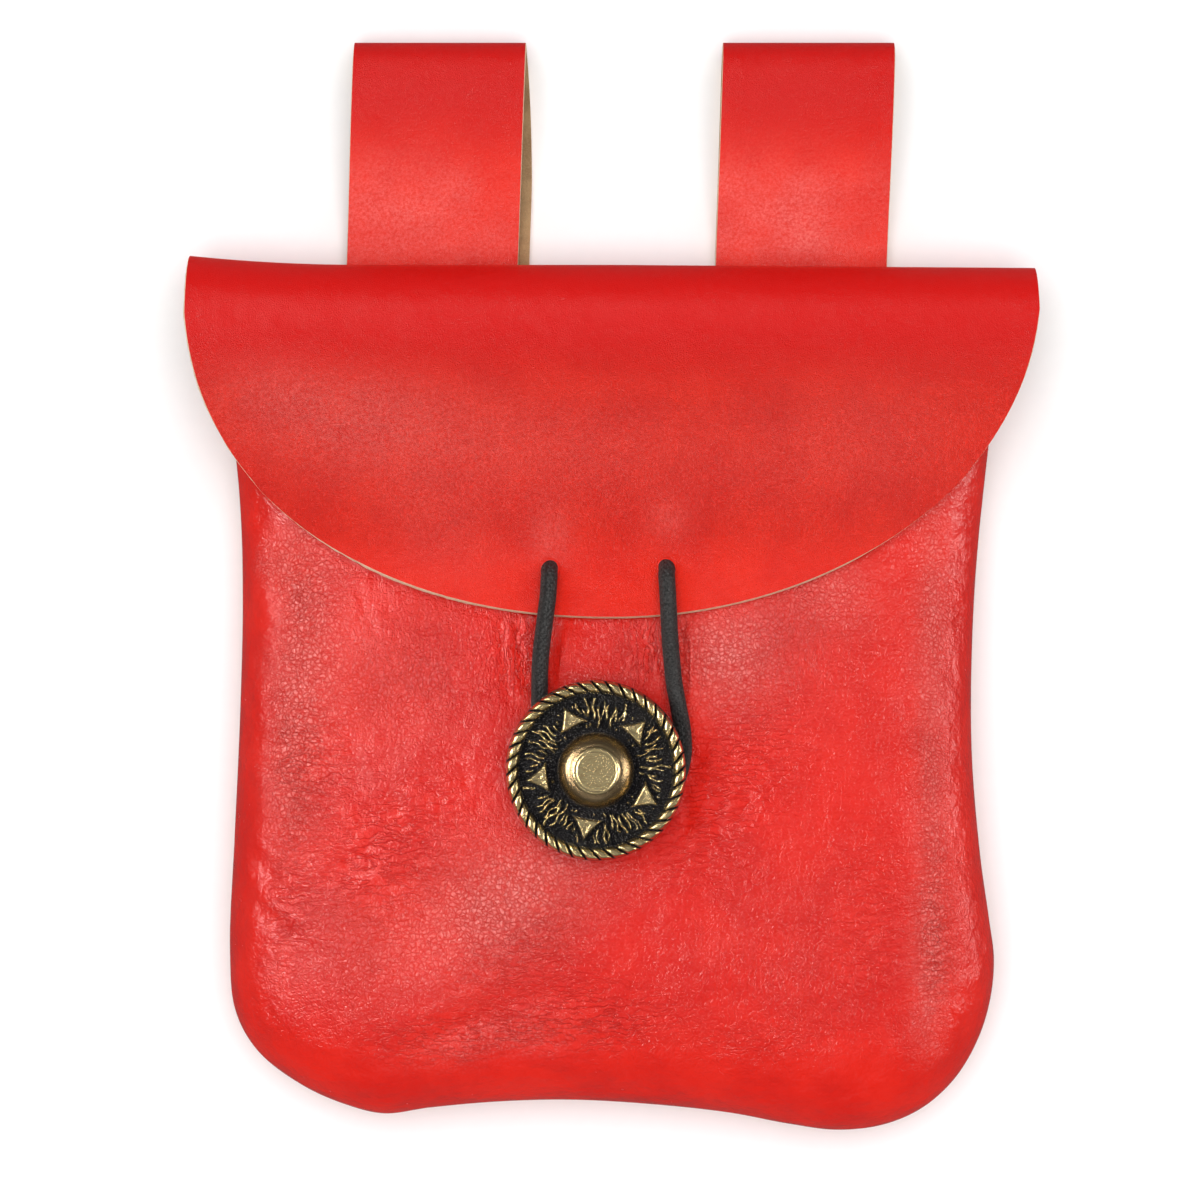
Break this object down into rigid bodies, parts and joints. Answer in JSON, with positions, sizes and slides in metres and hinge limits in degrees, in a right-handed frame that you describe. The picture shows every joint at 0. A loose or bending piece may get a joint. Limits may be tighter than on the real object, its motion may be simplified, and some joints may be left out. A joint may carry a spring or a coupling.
{
  "type": "medieval belt pouch",
  "caption": "Puffed leather belt pouch with a rounded flap, belt loops behind its fold, and an elastic loop that hooks behind a cast concho button.",
  "frame": {"origin": "middle of the pouch's footprint on the surface that it lies on, at the lowest point", "axes": "+X to the wearer's left as seen from the front, +Y towards the belt loops, +Z out of the front"},
  "size_m": [0.1532, 0.1968, 0.0371],
  "materials": {
    "firm_leather": "semi-matte fine grain, cream raw edges",
    "soft_leather": "semi-gloss soft grain with creases",
    "cast_brass": "antique, blackened in its recesses",
    "screw_steel": "plain",
    "elastic_cord": "matte black braid"
  },
  "bodies": {
    "root": {"back_panel_and_flap": "firm_leather", "pocket": "soft_leather", "belt_loop_left": "firm_leather", "belt_loop_right": "firm_leather", "concho_button": "cast_brass", "button_screw": "screw_steel", "elastic_loop": "elastic_cord"}
  },
  "joints": []
}
